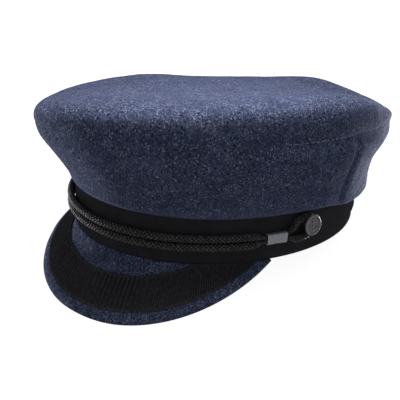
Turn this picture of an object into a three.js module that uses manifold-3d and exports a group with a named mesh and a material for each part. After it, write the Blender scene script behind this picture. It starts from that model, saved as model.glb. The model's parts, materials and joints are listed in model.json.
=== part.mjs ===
import * as THREE from 'three';
import { mergeVertices } from 'three/addons/utils/BufferGeometryUtils.js';
import Module from 'manifold-3d';

const wasm = await Module();
wasm.setup();

// A fisherman cap of wool cloth with a smooth band, a braided cord and a ribbon on its peak.
// Sizes are in millimetres and angles in degrees.
// The cap's own frame has its origin at the middle of the band's top edge, with +X to the
// wearer's left, +Y to the back of the head and +Z up.
// Angles around the head are counted from +X towards +Y, so the front of the head is at -90.

// Clearance between pieces that touch
const GAP = 0.3;

// Head opening and band
const HEAD_LENGTH = 202;
const HEAD_BREADTH = 165;
const BAND_WALL = 3;
const BAND_HEIGHT = 30.5;
const BAND_LEAN = 0.6;
const BAND_EDGE = 0.6;

// Crown
const WOOL_WALL = 2;
const CROWN_HEIGHT = 46;
const CROWN_FLARE_SIDE = 16.5;
const CROWN_FLARE_FRONT = 29.3;
const CROWN_FLARE_BACK = 17.9;
const CROWN_OVERHANG = 0.8;
const CROWN_BULGE = 3;
const TOP_PUFF = 18;
const TOP_CENTRE_PUFF = 1.05;
const TOP_EDGE_POWER = 9;
const TOP_RISE_POWER = 3;
const TOP_LEAN_LEFT = 4.2;
const TOP_LEAN_FRONT = 1.7;
const SIDE_SEAM_ANGLE = 3;
const SIDE_SEAM_DEPTH = 2;
const SIDE_SEAM_WIDTH = 4;

// Pouch behind the left side seam, where the crown's foot sags out and over the band
const SAG_ANGLE = 19;
const SAG_HALF_ANGLE = 24;
const SAG_DROP = 4.4;
const SAG_OUT = 1.6;

// Peak and the ribbon on it
const PEAK_LENGTH = 42.3;
const PEAK_WALL = 3.2;
const PEAK_HALF_ANGLE = 65.4;
const PEAK_SLOPE_FRONT = 53.7;
const PEAK_SLOPE_END = 34.8;
const PEAK_TURN = 0.16;
const PEAK_FULLNESS = 2.19;
const PEAK_TAPER = 1.13;
const PEAK_BORDER = 6.8;
const PEAK_THINNED_LENGTH = 6;
const RIBBON_WIDTH = 22.5;
const RIBBON_END_WIDTH = 1;
const RIBBON_WALL = 0.8;

// Cord, with the ferrules that gather it and the buttons that hold it
const CORD_DIAMETER = 5;
const CORD_DROOP = 1.8;
const FERRULE_ANGLE = 25.6;
const FERRULE_LENGTH = 13.5;
const FERRULE_WALL = 0.6;
const BUTTON_ANGLE = 13;
const BUTTON_DIAMETER = 12.6;
const BUTTON_THICKNESS = 2;
const BUTTON_SHANK = 3.6;
const BUTTON_TILT = 6;
const RELIEF_HEIGHT = 0.4;

// How far the cloth is pressed flat where the cap rests on its peak and its back hem
const PRESSED = 0.9;

// Values that follow from the sizes above
const LEFT_SEAM = SIDE_SEAM_ANGLE;
const RIGHT_SEAM = 180 - SIDE_SEAM_ANGLE;
const HALF_BREADTH = HEAD_BREADTH / 2 + BAND_WALL;
const HALF_LENGTH = HEAD_LENGTH / 2 + BAND_WALL;
const SEAM_HALF_BREADTH = HALF_BREADTH + CROWN_FLARE_SIDE;
const SEAM_HALF_LENGTH = HALF_LENGTH + (CROWN_FLARE_FRONT + CROWN_FLARE_BACK) / 2;
const SEAM_CENTRE = (CROWN_FLARE_BACK - CROWN_FLARE_FRONT) / 2;
const TOP_LEVEL = 0.79 * CROWN_HEIGHT;
const CORD_RADIUS = CORD_DIAMETER / 2;
const CORD_SPREAD = CORD_RADIUS + GAP / 2;
const CORD_OUT = CORD_RADIUS + GAP;
const CORD_HEIGHT = -BAND_HEIGHT / 2;
const BUTTON_HEIGHT = CORD_HEIGHT + 0.9 * CORD_DIAMETER;
const NECK_RADIUS = 0.22 * CORD_DIAMETER;
const NECK_SPREAD = NECK_RADIUS + GAP / 2;

// Steps of the faceted surfaces
const PANEL_STEPS = 38;
const SIDE_ROWS = 7;
const TOP_ROWS = 8;
const BAND_STEPS = 76;
const PEAK_STEPS = 38;
const CORD_STEPS = 108;
const CORD_SIDES = 8;
const ROUND_STEPS = 20;

// The crown's slump, a row for each eighth of the way around.
// seam is the height of the top's seam as a share of CROWN_HEIGHT, and puff is how far the top
// stands over it, as a share of TOP_PUFF.
// flare, upper, waist and lower push the side out at its seam and at three heights below it, as
// shares of CROWN_BULGE.
const CROWN_SECTIONS = [
  { angle: -180, puff: 0.7, seam: 0.64, flare: 0, upper: 1.0, waist: 0.4, lower: 0.8 },
  { angle: -135, puff: 0.64, seam: 0.79, flare: 0, upper: 0.4, waist: 0.1, lower: 0.1 },
  { angle: -90, puff: 1.14, seam: 0.94, flare: 0, upper: 0.8, waist: 0.5, lower: 0.2 },
  { angle: -45, puff: 1.43, seam: 1.0, flare: 0, upper: 0.9, waist: 0.7, lower: 0.4 },
  { angle: 0, puff: 1.42, seam: 0.96, flare: 0, upper: 1.0, waist: 0.5, lower: 0.5 },
  { angle: 45, puff: 0.22, seam: 0.81, flare: 0.5, upper: 1.1, waist: -1.4, lower: 0.2 },
  { angle: 90, puff: 0.84, seam: 0.65, flare: 0, upper: 1.4, waist: 0.4, lower: 1.6 },
  { angle: 135, puff: 0.51, seam: 0.58, flare: 0, upper: 1.2, waist: 0.3, lower: 1.2 },
];

// The cord's way around a button, a row for each bend, as shares of CORD_DIAMETER.
// along counts from the button's middle to the back of the head, up from the middle upwards.
const CORD_LOOP = [
  { along: -2.3, up: -0.25 },
  { along: -1.65, up: 0.6 },
  { along: -0.7, up: 0.93 },
  { along: 0.25, up: 0.92 },
  { along: 0.86, up: 0.4 },
  { along: 0.95, up: -0.35 },
  { along: 0.6, up: -1.08 },
  { along: -0.2, up: -1.5 },
  { along: -1.2, up: -1.62 },
  { along: -2.2, up: -1.47 },
];

const sin = (degrees) => Math.sin(THREE.MathUtils.degToRad(degrees));
const cos = (degrees) => Math.cos(THREE.MathUtils.degToRad(degrees));

// Plan of the cap

// A point of an oval at an angle around the head
function oval(angle, halfBreadth, halfLength, centre = 0) {
  return new THREE.Vector3(halfBreadth * cos(angle), centre + halfLength * sin(angle), 0);
}

// The way straight out of the band at an angle
function outward(angle) {
  return new THREE.Vector3(cos(angle) / HALF_BREADTH, sin(angle) / HALF_LENGTH, 0).normalize();
}

// The way along the band, towards larger angles
function along(angle) {
  return new THREE.Vector3(-HALF_BREADTH * sin(angle), HALF_LENGTH * cos(angle), 0).normalize();
}

// Degrees around the band for a length along it
function degreesAlong(angle, length) {
  const perRadian = Math.hypot(HALF_BREADTH * sin(angle), HALF_LENGTH * cos(angle));
  return THREE.MathUtils.radToDeg(length / perRadian);
}

// How far the band's outside leans out at a height
function bandLean(height) {
  return BAND_LEAN * (1 + height / BAND_HEIGHT);
}

// A point off the band's outside
function onBand(angle, out, height) {
  const point = oval(angle, HALF_BREADTH, HALF_LENGTH);
  point.addScaledVector(outward(angle), out + bandLean(height));
  point.z = height;
  return point;
}

// A smooth value of a column of CROWN_SECTIONS at any angle
function crownValue(column, angle) {
  const count = CROWN_SECTIONS.length;
  const place = ((angle - CROWN_SECTIONS[0].angle) / 360) * count;
  const first = Math.floor(place);
  const share = place - first;
  const value = (row) => CROWN_SECTIONS[((row % count) + count) % count][column];
  const [a, b, c, d] = [-1, 0, 1, 2].map((step) => value(first + step));
  const bend = 2 * a - 5 * b + 4 * c - d;
  const twist = 3 * (b - c) + d - a;
  return b + 0.5 * share * (c - a + share * (bend + share * twist));
}

// Meshes

// A closed solid between an outer and an inner layer of points.
// Each layer is a list of columns around or along the piece, each column a list of points.
// closed joins the last column to the first, pole ends each column in one shared point.
function layeredSolid(outer, inner, { closed = false, pole = false } = {}) {
  const columns = outer.length;
  const rows = outer[0].length;
  const points = [];
  const faces = [];
  const index = [outer, inner].map((layer) => layer.map((column) => column.map((point) => {
    points.push(point);
    return points.length - 1;
  })));
  if (pole) {
    index.forEach((layer) => layer.forEach((column) => {
      column[rows - 1] = layer[0][rows - 1];
    }));
  }
  const quad = (a, b, c, d) => {
    faces.push([a, b, c], [a, c, d]);
  };
  const last = closed ? columns : columns - 1;
  for (let i = 0; i < last; i += 1) {
    const next = (i + 1) % columns;
    for (let j = 0; j < rows - 1; j += 1) {
      quad(index[0][i][j], index[0][next][j], index[0][next][j + 1], index[0][i][j + 1]);
      quad(index[1][i][j + 1], index[1][next][j + 1], index[1][next][j], index[1][i][j]);
    }
    quad(index[1][i][0], index[1][next][0], index[0][next][0], index[0][i][0]);
    if (!pole) {
      const top = rows - 1;
      quad(index[0][i][top], index[0][next][top], index[1][next][top], index[1][i][top]);
    }
  }
  if (!closed) {
    const end = columns - 1;
    for (let j = 0; j < rows - 1; j += 1) {
      quad(index[1][0][j], index[0][0][j], index[0][0][j + 1], index[1][0][j + 1]);
      quad(index[0][end][j], index[1][end][j], index[1][end][j + 1], index[0][end][j + 1]);
    }
  }
  return solidGeometry(points, faces);
}

// A closed ring of sections, each a loop of as many points
function ringSolid(sections) {
  const sides = sections[0].length;
  const points = sections.flat();
  const faces = [];
  sections.forEach((section, i) => {
    const next = (i + 1) % sections.length;
    for (let j = 0; j < sides; j += 1) {
      const k = (j + 1) % sides;
      const [a, b, c, d] = [i * sides + j, i * sides + k, next * sides + k, next * sides + j];
      faces.push([a, b, c], [a, c, d]);
    }
  });
  return solidGeometry(points, faces);
}

// A geometry from points and faces, with the faces turned outwards
function solidGeometry(points, faces) {
  const whole = faces.filter(([a, b, c]) => a !== b && b !== c && c !== a);
  const volume = whole.reduce((sum, [a, b, c]) => {
    const normal = new THREE.Vector3().crossVectors(points[b], points[c]);
    return sum + points[a].dot(normal);
  }, 0);
  const turned = volume < 0 ? whole.map(([a, b, c]) => [a, c, b]) : whole;
  const geometry = new THREE.BufferGeometry();
  geometry.setAttribute('position', new THREE.Float32BufferAttribute(
    points.flatMap((point) => point.toArray()), 3));
  geometry.setIndex(turned.flat());
  return mergeVertices(geometry, 1e-4);
}

function toManifold(geometry) {
  const bare = geometry.clone();
  bare.deleteAttribute('normal');
  bare.deleteAttribute('uv');
  const merged = mergeVertices(bare, 1e-4);
  return new wasm.Manifold(new wasm.Mesh({
    numProp: 3,
    vertProperties: new Float32Array(merged.attributes.position.array),
    triVerts: new Uint32Array(merged.index.array),
  }));
}

function fromManifold(solid) {
  const mesh = solid.getMesh();
  const geometry = new THREE.BufferGeometry();
  geometry.setAttribute('position', new THREE.BufferAttribute(mesh.vertProperties, 3));
  geometry.setIndex(new THREE.BufferAttribute(mesh.triVerts, 1));
  return geometry;
}

// Rest

// The lean at which the peak's edge and the back hem touch one flat surface
function restLean() {
  const hem = new THREE.Vector3(0, HALF_LENGTH, -BAND_HEIGHT);
  let lean = 0;
  for (const share of peakShares(PEAK_STEPS)) {
    const edge = peakSection(share).underside.at(-1);
    const slope = Math.atan2(hem.z - edge.z, hem.y - edge.y);
    lean = Math.max(lean, slope);
  }
  return lean;
}

// Presses a geometry of the cap's frame flat on the surface that the cap rests on
function pressed(geometry, toRoom) {
  const position = geometry.attributes.position;
  const toCap = toRoom.clone().invert();
  const point = new THREE.Vector3();
  for (let i = 0; i < position.count; i += 1) {
    point.fromBufferAttribute(position, i).applyMatrix4(toRoom);
    if (point.z < 0) {
      point.z = 0;
      point.applyMatrix4(toCap);
      position.setXYZ(i, point.x, point.y, point.z);
    }
  }
  return geometry;
}

// Crown

// Angles from one side seam to the next, closer together near the seams
function panelAngles(start, end) {
  const crowding = 0.6;
  return Array.from({ length: PANEL_STEPS + 1 }, (_, i) => {
    const share = i / PANEL_STEPS;
    const eased = share - (crowding * Math.sin(2 * Math.PI * share)) / (2 * Math.PI);
    return start + (end - start) * eased;
  });
}

// How deep the side seams draw the cloth in at an angle
function seamDraw(angle) {
  const seams = [LEFT_SEAM, RIGHT_SEAM, RIGHT_SEAM - 360];
  return seams.reduce((sum, seam) => {
    const distance = THREE.MathUtils.degToRad(angle - seam) * SEAM_HALF_LENGTH;
    return sum + SIDE_SEAM_DEPTH * Math.exp(-((distance / SIDE_SEAM_WIDTH) ** 2));
  }, 0);
}

// A rounded wave that peaks at a middle share and falls to nothing at both ends
function swell(share, middle) {
  const power = Math.log(0.5) / Math.log(middle);
  return Math.sin(Math.PI * share ** power) ** 2;
}

// How far the crown's foot sags out of the band and below its top edge at an angle.
// The foot moves clear of the band before it drops.
function sagAt(angle) {
  const share = Math.exp(-(((angle - SAG_ANGLE) / SAG_HALF_ANGLE) ** 2));
  const clear = THREE.MathUtils.smoothstep(share, 0, 0.3);
  const dropped = THREE.MathUtils.smoothstep(share, 0.25, 0.9);
  return { out: (WOOL_WALL + GAP) * clear + SAG_OUT * share, drop: SAG_DROP * dropped };
}

// The plan of the top's seam at an angle
function seamPlan(angle) {
  const seam = oval(angle, SEAM_HALF_BREADTH, SEAM_HALF_LENGTH, SEAM_CENTRE);
  return seam.addScaledVector(outward(angle), CROWN_BULGE * crownValue('flare', angle));
}

// A point on the outside of the crown's side, from the band at 0 to the top's seam at 1
function sidePoint(angle, share) {
  const sag = sagAt(angle);
  const out = BAND_LEAN + CROWN_OVERHANG + sag.out;
  const foot = oval(angle, HALF_BREADTH + out, HALF_LENGTH + out);
  const point = foot.clone().lerp(seamPlan(angle), share);
  const bulge = crownValue('upper', angle) * swell(share, 0.78)
    + crownValue('waist', angle) * swell(share, 0.48)
    + crownValue('lower', angle) * swell(share, 0.2);
  const draw = seamDraw(angle) * Math.sin(Math.PI * share);
  point.addScaledVector(outward(angle), CROWN_BULGE * bulge - draw);
  point.z = THREE.MathUtils.lerp(GAP - sag.drop, seamHeight(angle) - GAP / 2, share);
  return point;
}

// Height of the top's seam at an angle
function seamHeight(angle) {
  return CROWN_HEIGHT * crownValue('seam', angle);
}

function crownSide(start, end) {
  const gapAngle = THREE.MathUtils.radToDeg(GAP / 2 / HALF_BREADTH);
  const angles = panelAngles(start + gapAngle, end - gapAngle);
  const shares = Array.from({ length: SIDE_ROWS + 1 }, (_, j) => j / SIDE_ROWS);
  const layer = (inset) => angles.map((angle) => shares.map((share) => (
    sidePoint(angle, share).addScaledVector(outward(angle), -inset)
  )));
  return layeredSolid(layer(0), layer(WOOL_WALL));
}

// A point on the outside of the crown's top, from its seam at 0 to its middle at 1.
// The top stands up from its seam, turns over a soft edge and lies nearly flat within it.
function topPoint(angle, share) {
  const out = share < 1 ? cos(90 * share) ** (2 / TOP_EDGE_POWER) : 0;
  const rise = sin(90 * share) ** (2 / TOP_RISE_POWER);
  const centre = new THREE.Vector3(0, SEAM_CENTRE, 0);
  const point = centre.lerp(seamPlan(angle), out);
  point.x += TOP_LEAN_LEFT * rise;
  point.y -= TOP_LEAN_FRONT * rise;
  const puff = THREE.MathUtils.lerp(TOP_CENTRE_PUFF, crownValue('puff', angle), out ** 2);
  const plane = THREE.MathUtils.lerp(TOP_LEVEL, seamHeight(angle), out);
  point.z = plane + GAP / 2 + TOP_PUFF * rise * puff;
  return point;
}

function crownTop() {
  const angles = [
    ...panelAngles(RIGHT_SEAM - 360, LEFT_SEAM).slice(0, PANEL_STEPS),
    ...panelAngles(LEFT_SEAM, RIGHT_SEAM).slice(0, PANEL_STEPS),
  ];
  const shares = Array.from({ length: TOP_ROWS + 1 }, (_, j) => j / TOP_ROWS);
  const step = 0.01;
  const inside = (angle, share) => {
    const point = topPoint(angle, share);
    if (share === 0) {
      return point.addScaledVector(outward(angle), -WOOL_WALL);
    }
    if (share === 1) {
      return point.add(new THREE.Vector3(0, 0, -WOOL_WALL));
    }
    const aside = topPoint(angle + step, share).sub(topPoint(angle - step, share));
    const inwards = topPoint(angle, share + step).sub(topPoint(angle, share - step));
    return point.addScaledVector(aside.cross(inwards).normalize(), -WOOL_WALL);
  };
  const outer = angles.map((angle) => shares.map((share) => topPoint(angle, share)));
  const inner = angles.map((angle) => shares.map((share) => inside(angle, share)));
  return layeredSolid(outer, inner, { closed: true, pole: true });
}

// Band

function band() {
  const rows = [
    { height: -BAND_HEIGHT, inset: BAND_EDGE },
    { height: -BAND_HEIGHT + BAND_EDGE, inset: 0 },
    { height: -BAND_EDGE, inset: 0 },
    { height: 0, inset: BAND_EDGE },
  ];
  const angles = Array.from({ length: BAND_STEPS }, (_, i) => (360 * i) / BAND_STEPS);
  const outer = angles.map((angle) => rows.map(({ height, inset }) => (
    onBand(angle, -inset, height)
  )));
  const inner = angles.map((angle) => rows.map(({ height, inset }) => (
    onBand(angle, inset - BAND_WALL, height)
  )));
  return layeredSolid(outer, inner, { closed: true });
}

// Peak

function peakShares(steps) {
  const end = 0.985;
  return Array.from({ length: steps + 1 }, (_, i) => end * ((2 * i) / steps - 1));
}

// The peak's length from the band to its edge, at a share of its half angle
function peakReach(share) {
  return PEAK_LENGTH * (1 - Math.abs(share) ** PEAK_FULLNESS) ** PEAK_TAPER;
}

// The straight line that the peak's upper side follows at a share of its half angle
function peakLine(share) {
  const angle = -90 + share * PEAK_HALF_ANGLE;
  const front = new THREE.Vector3(0, -1, 0);
  const away = outward(angle).lerp(front, PEAK_TURN).normalize();
  const slope = PEAK_SLOPE_FRONT + (PEAK_SLOPE_END - PEAK_SLOPE_FRONT) * share ** 2;
  const start = oval(angle, HALF_BREADTH, HALF_LENGTH);
  start.z = -BAND_HEIGHT - GAP;
  const down = away.clone().multiplyScalar(cos(slope));
  down.z = -sin(slope);
  const up = away.clone().multiplyScalar(sin(slope));
  up.z = cos(slope);
  return { start, away, down, up };
}

function peakPoint(line, reach, height) {
  return line.start.clone().addScaledVector(line.down, reach).addScaledVector(line.up, height);
}

// A section of the peak: its upper side and underside, from the band to its rounded edge
function peakSection(share) {
  const line = peakLine(share);
  const length = peakReach(share);
  const fullness = THREE.MathUtils.clamp(length / PEAK_THINNED_LENGTH, 0.25, 1);
  const wall = PEAK_WALL * fullness;
  const flat = length - wall / 2;
  const upper = [0, 0.12, 0.4, 0.7, 1].map((part) => peakPoint(line, part * flat, 0));
  const underside = [0.12, 0.4, 0.7, 1].map((part) => peakPoint(line, part * flat, -wall));
  const seat = line.start.clone().addScaledVector(line.away, -(BAND_WALL - GAP) * fullness);
  underside.unshift(seat);
  for (const turn of [35, 62, 85]) {
    const reach = flat + (wall / 2) * sin(turn);
    upper.push(peakPoint(line, reach, -wall / 2 + (wall / 2) * cos(turn)));
    underside.push(peakPoint(line, reach, -wall / 2 - (wall / 2) * cos(turn)));
  }
  return { upper, underside };
}

function peak() {
  const sections = peakShares(PEAK_STEPS).map(peakSection);
  return layeredSolid(
    sections.map((section) => section.upper),
    sections.map((section) => section.underside),
  );
}

// The ribbon lies on the peak between its border and the band
function peakRibbon() {
  const shares = peakShares(PEAK_STEPS * 4).filter((share) => (
    peakReach(share) > PEAK_BORDER + RIBBON_END_WIDTH + 2 * GAP
  ));
  const kept = shares.filter((_, i) => i % 4 === 0 || i === shares.length - 1);
  const column = (share, height) => {
    const line = peakLine(share);
    const far = peakReach(share) - PEAK_BORDER;
    const near = Math.max(2 * GAP, far - RIBBON_WIDTH);
    return [0, 0.5, 1].map((part) => peakPoint(line, near + part * (far - near), height));
  };
  return layeredSolid(
    kept.map((share) => column(share, GAP + RIBBON_WALL)),
    kept.map((share) => column(share, GAP)),
  );
}

// Cord

// Height of the middle between the cord's two strands at an angle
function cordHeight(angle) {
  return CORD_HEIGHT - CORD_DROOP * sin(angle) ** 2;
}

// The left-hand half of the cord's route, from the front around the button and back.
// side is 1 for the upper strand and -1 for the lower one.
function strandPoints(side) {
  const ferruleStart = -FERRULE_ANGLE - degreesAlong(FERRULE_ANGLE, FERRULE_LENGTH / 2);
  const ferruleEnd = -FERRULE_ANGLE + degreesAlong(FERRULE_ANGLE, FERRULE_LENGTH / 2);
  const settle = degreesAlong(FERRULE_ANGLE, 1.3 * CORD_DIAMETER);
  const open = [-80, -70, -60, -50, -42].filter((angle) => angle < ferruleStart - 2 * settle);
  const points = [...open, ferruleStart - 1.4 * settle].map((angle) => (
    onBand(angle, CORD_OUT, cordHeight(angle) + side * CORD_SPREAD)
  ));
  for (const angle of [ferruleStart, -FERRULE_ANGLE, ferruleEnd]) {
    points.push(onBand(angle, CORD_OUT, cordHeight(angle) + side * NECK_SPREAD));
  }
  return points;
}

function loopPoints() {
  return CORD_LOOP.map((row) => {
    const angle = -BUTTON_ANGLE + degreesAlong(BUTTON_ANGLE, row.along * CORD_DIAMETER);
    return onBand(angle, CORD_OUT, BUTTON_HEIGHT + row.up * CORD_DIAMETER);
  });
}

const mirrored = (points) => points.map((point) => new THREE.Vector3(-point.x, point.y, point.z));

// The whole route: one closed loop, doubled along the front and turned around each button
function cordRoute() {
  const half = [...strandPoints(1), ...loopPoints(), ...strandPoints(-1).reverse()];
  const middle = (side) => onBand(-90, CORD_OUT, cordHeight(-90) + side * CORD_SPREAD);
  const points = [middle(1), ...half, middle(-1), ...mirrored(half).reverse()];
  return new THREE.CatmullRomCurve3(points, true, 'centripetal');
}

// The cord's radius at a point: full, but drawn in where the ferrules gather it
function cordRadius(point) {
  const near = point.x < 0 ? mirrored([point])[0] : point;
  const middle = onBand(-FERRULE_ANGLE, CORD_OUT, cordHeight(-FERRULE_ANGLE));
  const offset = near.clone().sub(middle);
  const distance = Math.abs(offset.dot(along(-FERRULE_ANGLE))) - FERRULE_LENGTH / 2;
  const opened = THREE.MathUtils.smoothstep(distance, 0.1 * CORD_DIAMETER, 1.7 * CORD_DIAMETER);
  return NECK_RADIUS + (CORD_RADIUS - NECK_RADIUS) * opened;
}

function cord() {
  const route = cordRoute();
  const points = route.getSpacedPoints(CORD_STEPS).slice(0, CORD_STEPS);
  const frames = route.computeFrenetFrames(CORD_STEPS, true);
  const sections = points.map((point, i) => {
    const radius = cordRadius(point);
    return Array.from({ length: CORD_SIDES }, (_, j) => {
      const turn = (360 * (j + 0.5)) / CORD_SIDES;
      return point.clone()
        .addScaledVector(frames.normals[i], radius * cos(turn))
        .addScaledVector(frames.binormals[i], radius * sin(turn));
    });
  });
  return ringSolid(sections);
}

// Ferrule

// A flattened tube along x, with y up and z out of the band, its hole around both strands
function ferrule() {
  const holeDepth = 2 * (NECK_RADIUS + GAP);
  const holeHeight = 2 * (NECK_SPREAD + NECK_RADIUS + GAP);
  const outline = (shape, depth, height, radius) => {
    const [x, y] = [depth / 2 - radius, height / 2 - radius];
    shape.absarc(x, -y, radius, -Math.PI / 2, 0, false);
    shape.absarc(x, y, radius, 0, Math.PI / 2, false);
    shape.absarc(-x, y, radius, Math.PI / 2, Math.PI, false);
    shape.absarc(-x, -y, radius, Math.PI, 1.5 * Math.PI, false);
    shape.closePath();
    return shape;
  };
  const holeRadius = 0.8 * NECK_RADIUS;
  const wall = 2 * FERRULE_WALL;
  const shape = outline(
    new THREE.Shape(), holeDepth + wall, holeHeight + wall, holeRadius + FERRULE_WALL);
  shape.holes.push(outline(new THREE.Path(), holeDepth, holeHeight, holeRadius));
  const geometry = new THREE.ExtrudeGeometry(shape, {
    depth: FERRULE_LENGTH, bevelEnabled: false, curveSegments: 3,
  });
  geometry.translate(0, 0, -FERRULE_LENGTH / 2);
  geometry.rotateY(Math.PI / 2);
  return geometry;
}

// Button

// A flat button on a shank, facing +z, with a raised rim and a plain anchor in relief
function button() {
  const radius = BUTTON_DIAMETER / 2;
  const back = CORD_OUT + CORD_RADIUS + GAP + radius * sin(BUTTON_TILT);
  const front = back + BUTTON_THICKNESS;
  const face = front - RELIEF_HEIGHT;
  const foot = GAP + (BUTTON_SHANK / 2) * sin(BUTTON_TILT);
  const rim = 0.12 * radius;
  const profile = [
    [0, foot],
    [BUTTON_SHANK / 2, foot],
    [BUTTON_SHANK / 2, back],
    [radius - rim, back],
    [radius, back + 0.4 * BUTTON_THICKNESS],
    [radius - 0.3 * rim, front],
    [radius - 1.4 * rim, front],
    [radius - 1.9 * rim, face - 0.05 * BUTTON_THICKNESS],
    [0, face],
  ].map(([x, y]) => new THREE.Vector2(x, y));
  const head = new THREE.LatheGeometry(profile, ROUND_STEPS);
  head.rotateX(Math.PI / 2);
  const relief = anchorPieces(radius * 0.62, face - RELIEF_HEIGHT, 2 * RELIEF_HEIGHT);
  const solid = relief.reduce((sum, piece) => sum.add(toManifold(piece)), toManifold(head));
  return fromManifold(solid);
}

// The pieces of an anchor of a half height, raised from a base by a depth
function anchorPieces(half, base, depth) {
  const bar = 0.2 * half;
  const arms = new THREE.Shape();
  arms.absarc(0, 0, half, 1.1 * Math.PI, 1.9 * Math.PI, false);
  arms.absarc(0, 0, half - bar, 1.9 * Math.PI, 1.1 * Math.PI, true);
  arms.closePath();
  const ring = new THREE.Shape();
  ring.absarc(0, 0.82 * half, 0.24 * half, 0, 2 * Math.PI, false);
  const eye = new THREE.Path();
  eye.absarc(0, 0.82 * half, 0.1 * half, 0, 2 * Math.PI, false);
  ring.holes.push(eye);
  const settings = { depth, bevelEnabled: false, curveSegments: 8 };
  const flat = [arms, ring].map((shape) => new THREE.ExtrudeGeometry(shape, settings));
  flat.forEach((piece) => piece.translate(0, 0, base));
  const shank = new THREE.BoxGeometry(bar, 1.5 * half, depth);
  shank.translate(0, -0.12 * half, base + depth / 2);
  const stock = new THREE.BoxGeometry(0.9 * half, bar, depth);
  stock.translate(0, 0.42 * half, base + depth / 2);
  return [...flat, shank, stock];
}

// Assembly

const wool = { color: '#3b4260', roughness: 0.95, metalness: 0 };
const smoothCloth = { color: '#17171b', roughness: 0.9, metalness: 0 };
const braid = { color: '#1b1c1d', roughness: 0.85, metalness: 0 };
const pewter = { color: '#5d5d5f', roughness: 0.5, metalness: 0.8 };

function named(name, geometry, look) {
  const mesh = new THREE.Mesh(geometry, new THREE.MeshStandardMaterial(look));
  mesh.name = name;
  return mesh;
}

// Sets a mesh on the band: its x axis along the band, its z axis out of it, tilted upwards
function setOnBand(mesh, angle, out, height, tilt) {
  const x = along(angle);
  const up = new THREE.Vector3(0, 0, 1);
  const z = outward(angle).multiplyScalar(cos(tilt)).addScaledVector(up, sin(tilt));
  const y = new THREE.Vector3().crossVectors(z, x);
  mesh.quaternion.setFromRotationMatrix(new THREE.Matrix4().makeBasis(x, y, z));
  mesh.position.copy(onBand(angle, out, height));
  return mesh;
}

const cap = new THREE.Group();
const lean = restLean();
const hemDrop = new THREE.Vector3(0, HALF_LENGTH, -BAND_HEIGHT)
  .applyAxisAngle(new THREE.Vector3(1, 0, 0), -lean);
cap.rotation.x = -lean;
cap.position.z = -hemDrop.z - PRESSED;
cap.updateMatrix();

cap.add(named('crown_top', crownTop(), wool));
cap.add(named('crown_side_front', crownSide(RIGHT_SEAM - 360, LEFT_SEAM), wool));
cap.add(named('crown_side_back', crownSide(LEFT_SEAM, RIGHT_SEAM), wool));
cap.add(named('band', pressed(band(), cap.matrix), smoothCloth));
cap.add(named('peak', pressed(peak(), cap.matrix), wool));
cap.add(named('peak_ribbon', peakRibbon(), smoothCloth));
cap.add(named('cord', cord(), braid));

for (const [side, turn] of [['left', (angle) => -angle], ['right', (angle) => angle - 180]]) {
  const ferruleAngle = turn(FERRULE_ANGLE);
  const buttonAngle = turn(BUTTON_ANGLE);
  cap.add(setOnBand(
    named(`ferrule_${side}`, ferrule(), pewter),
    ferruleAngle, CORD_OUT, cordHeight(ferruleAngle), 0));
  cap.add(setOnBand(
    named(`button_${side}`, button(), pewter),
    buttonAngle, 0, BUTTON_HEIGHT, BUTTON_TILT));
}

// The whole cap stands with the middle of its box over the origin
const capOnSurface = new THREE.Group();
capOnSurface.add(cap);
capOnSurface.updateMatrixWorld(true);
const middle = new THREE.Box3().setFromObject(capOnSurface, true).getCenter(new THREE.Vector3());
cap.position.y -= middle.y;

export default capOnSurface;
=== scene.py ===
import json

import bpy
import numpy as np
from mathutils import Matrix, Vector


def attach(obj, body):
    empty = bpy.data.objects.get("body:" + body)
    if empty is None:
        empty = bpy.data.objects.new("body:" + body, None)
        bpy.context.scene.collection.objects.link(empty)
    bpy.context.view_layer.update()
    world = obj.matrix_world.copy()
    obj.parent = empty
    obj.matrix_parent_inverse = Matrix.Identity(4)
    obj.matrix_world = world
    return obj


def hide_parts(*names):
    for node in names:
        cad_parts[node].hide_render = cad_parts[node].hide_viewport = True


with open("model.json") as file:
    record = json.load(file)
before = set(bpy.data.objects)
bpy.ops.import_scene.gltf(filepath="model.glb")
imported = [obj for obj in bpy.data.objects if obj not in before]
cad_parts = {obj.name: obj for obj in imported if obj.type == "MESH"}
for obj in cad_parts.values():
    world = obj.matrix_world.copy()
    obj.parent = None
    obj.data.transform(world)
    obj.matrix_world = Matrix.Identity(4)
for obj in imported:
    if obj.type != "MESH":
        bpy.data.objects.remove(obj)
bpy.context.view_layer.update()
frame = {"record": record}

# A wool fisherman cap with a smooth band, a braided cord, and a ribbon on its peak.
# Sizes are in metres and angles in degrees.
# The cap's own frame has its origin at the middle of the band's top edge, with +X to the
# wearer's left, +Y to the back of the head and +Z up. The front of the head is at -90 degrees.

MM = 0.001
GAP = 0.3 * MM

# Head opening and band
HEAD_LENGTH = 0.202
HEAD_BREADTH = 0.165
BAND_WALL = 3 * MM
BAND_HEIGHT = 30.5 * MM
BAND_LEAN = 0.6 * MM
BAND_LIP = 0.8 * MM
BAND_CLOTH_LENGTH = 0.62
BAND_FOLD_ANGLE = 35
BAND_FOLD_HALF_ANGLE = 14
BAND_FOLD_SPACING = 13 * MM
BAND_FOLD_DEPTH = 0.9 * MM

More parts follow.
